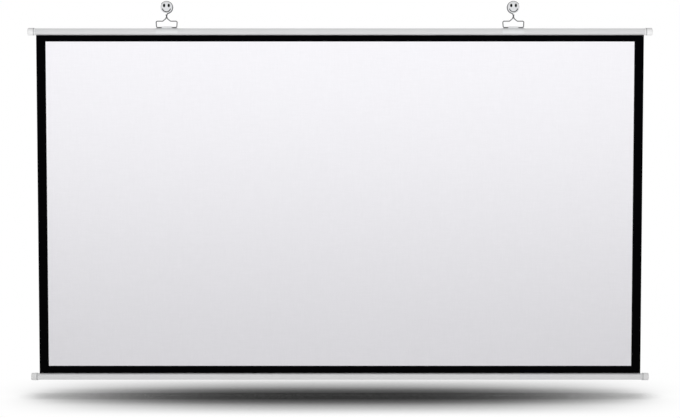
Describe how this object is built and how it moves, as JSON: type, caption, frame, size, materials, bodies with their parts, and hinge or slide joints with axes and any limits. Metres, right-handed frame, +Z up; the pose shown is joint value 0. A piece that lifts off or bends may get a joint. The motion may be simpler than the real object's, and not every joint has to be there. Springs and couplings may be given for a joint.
{
  "type": "hanging projection screen",
  "caption": "Flat white projection screen with a black border, stretched between two tubes with end caps and hung by wire hangers on round hooks that stick to the wall.",
  "frame": {"origin": "on the wall plane, midway between the centres of the two wall hooks", "axes": "+X along the tubes, to the right for someone who looks at the screen, +Y into the wall, +Z up"},
  "size_m": [1.973, 0.0258, 1.222],
  "materials": {
    "cloth": "matt white coated cloth",
    "border": "matt black film",
    "tube_paint": "light grey powder coat",
    "cap_plastic": "satin white moulding",
    "clip_plastic": "satin light grey moulding",
    "hook_plastic": "gloss light grey moulding",
    "wire": "dull zinc plate",
    "rod_plastic": "plain",
    "rod_steel": "plain drawn",
    "pad_foam": "matt foam tape"
  },
  "bodies": {
    "wall_hooks": {"adhesive_pad_left": "pad_foam", "adhesive_pad_right": "pad_foam", "hook_base_left": "hook_plastic", "hook_base_right": "hook_plastic", "hook_face_left": "hook_plastic", "hook_face_right": "hook_plastic"},
    "hanger_left": {"wire_hanger_left": "wire"},
    "hanger_right": {"wire_hanger_right": "wire"},
    "screen": {"top_tube": "tube_paint", "top_hem_rod": "rod_plastic", "top_cap_left": "cap_plastic", "top_cap_right": "cap_plastic", "hanger_clip_left": "clip_plastic", "hanger_clip_right": "clip_plastic", "screen_cloth": "cloth", "border_top": "border", "border_bottom": "border", "border_left": "border", "border_right": "border"},
    "bottom_bar": {"bottom_tube": "tube_paint", "bottom_hem_rod": "rod_steel", "bottom_cap_left": "cap_plastic", "bottom_cap_right": "cap_plastic"}
  },
  "joints": [
    {"name": "hanger_left_swing", "type": "hinge", "parent": "wall_hooks", "child": "hanger_left", "pos_m": [-0.547, -0.013, 0.0161], "axis": [-1, 0, 0], "range_deg": [0, 8]},
    {"name": "hanger_right_swing", "type": "hinge", "parent": "wall_hooks", "child": "hanger_right", "pos_m": [0.547, -0.013, 0.0161], "axis": [-1, 0, 0], "range_deg": [0, 8]},
    {"name": "screen_tilt", "type": "hinge", "parent": "hanger_left", "child": "screen", "pos_m": [-0.547, -0.013, -0.0652], "axis": [-1, 0, 0], "range_deg": [0, 80]},
    {"name": "roll_up", "type": "slide", "parent": "screen", "child": "bottom_bar", "axis": [0, 0, 1], "range_m": [0, 1.06], "deforming": ["screen_cloth", "border_top", "border_bottom", "border_left", "border_right"]}
  ],
  "couplings": [
    {"joint": "hanger_right_swing", "follows": "hanger_left_swing", "ratio": 1}
  ]
}
